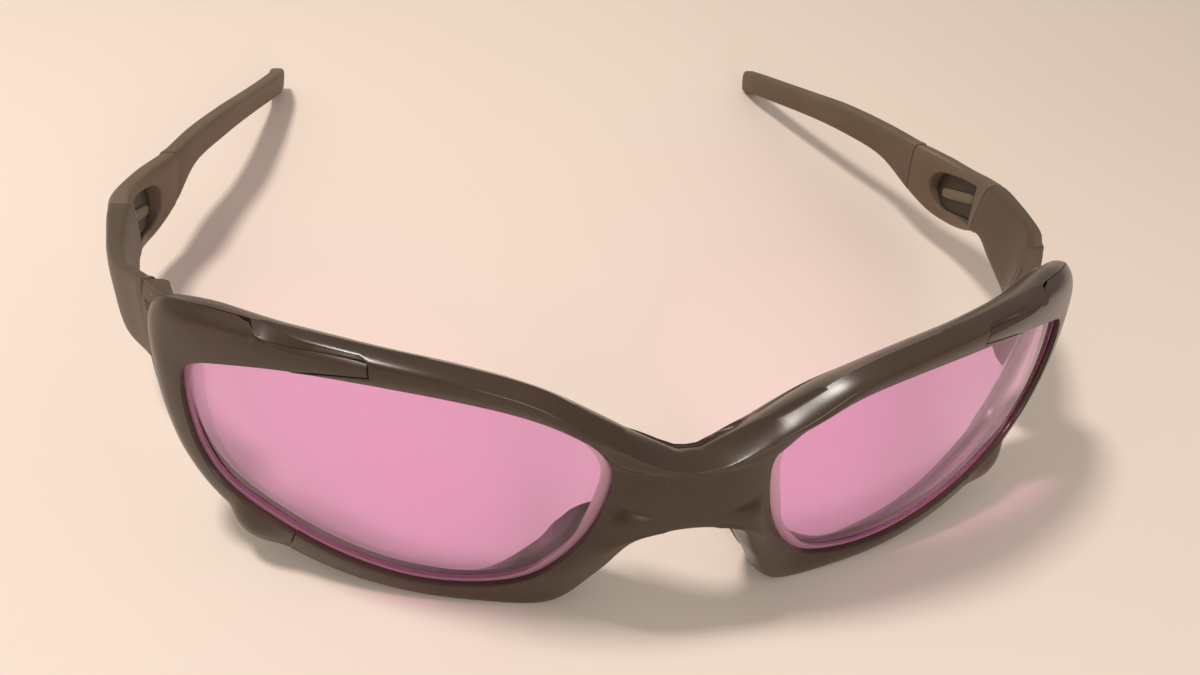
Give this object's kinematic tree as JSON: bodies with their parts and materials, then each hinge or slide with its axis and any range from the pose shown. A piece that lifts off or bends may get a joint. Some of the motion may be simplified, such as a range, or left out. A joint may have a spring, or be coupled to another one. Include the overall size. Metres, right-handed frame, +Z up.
{
  "type": "wraparound safety glasses",
  "caption": "Wraparound safety glasses with tinted curved lenses held by hinged corner gates, folding windowed temples and rubber ear socks.",
  "frame": {"origin": "under the middle of the glasses, at the level they lie on", "axes": "lenses face -Y, temples run to +Y, +Z up, left half on the +X side"},
  "size_m": [0.149, 0.1388, 0.0395],
  "materials": {
    "frame_plastic": "satin dark brown black moulded plastic",
    "arm_plastic": "matte olive brown moulded plastic",
    "sock_rubber": "matte soft rubber",
    "pad_rubber": "matte soft rubber",
    "tinted_lens": "clear rose tinted polycarbonate",
    "screw_metal": "plain steel",
    "badge_plate": "satin plate with a paler bar"
  },
  "bodies": {
    "front": {"front_frame": "frame_plastic", "left_lens": "tinted_lens", "left_gate_pin": "screw_metal", "left_hinge_block": "frame_plastic", "left_hinge_screw": "screw_metal", "left_block_screw": "screw_metal", "left_nose_pad": "pad_rubber", "right_lens": "tinted_lens", "right_gate_pin": "screw_metal", "right_hinge_block": "frame_plastic", "right_hinge_screw": "screw_metal", "right_block_screw": "screw_metal", "right_nose_pad": "pad_rubber"},
    "left_side": {"left_arm": "arm_plastic", "left_elbow_dowel": "screw_metal", "left_temple": "arm_plastic", "left_temple_badge": "badge_plate", "left_ear_sock": "sock_rubber"},
    "left_flap": {"left_gate": "frame_plastic", "left_gate_barrel": "screw_metal"},
    "right_side": {"right_arm": "arm_plastic", "right_elbow_dowel": "screw_metal", "right_temple": "arm_plastic", "right_temple_badge": "badge_plate", "right_ear_sock": "sock_rubber"},
    "right_flap": {"right_gate": "frame_plastic", "right_gate_barrel": "screw_metal"}
  },
  "joints": [
    {"name": "left_temple_hinge", "type": "hinge", "parent": "front", "child": "left_side", "pos_m": [0.063, -0.0327, 0.0228], "axis": [0, 0, 1], "range_deg": [0, 90]},
    {"name": "right_temple_hinge", "type": "hinge", "parent": "front", "child": "right_side", "pos_m": [-0.063, -0.0327, 0.0228], "axis": [0, 0, -1], "range_deg": [0, 75]},
    {"name": "left_gate_hinge", "type": "hinge", "parent": "front", "child": "left_flap", "pos_m": [0.04044, -0.05685, 0.0372], "axis": [-0.8978, -0.4405, 0], "range_deg": [0, 50]},
    {"name": "right_gate_hinge", "type": "hinge", "parent": "front", "child": "right_flap", "pos_m": [-0.04044, -0.05685, 0.0372], "axis": [-0.8978, 0.4405, 0], "range_deg": [0, 50]}
  ]
}
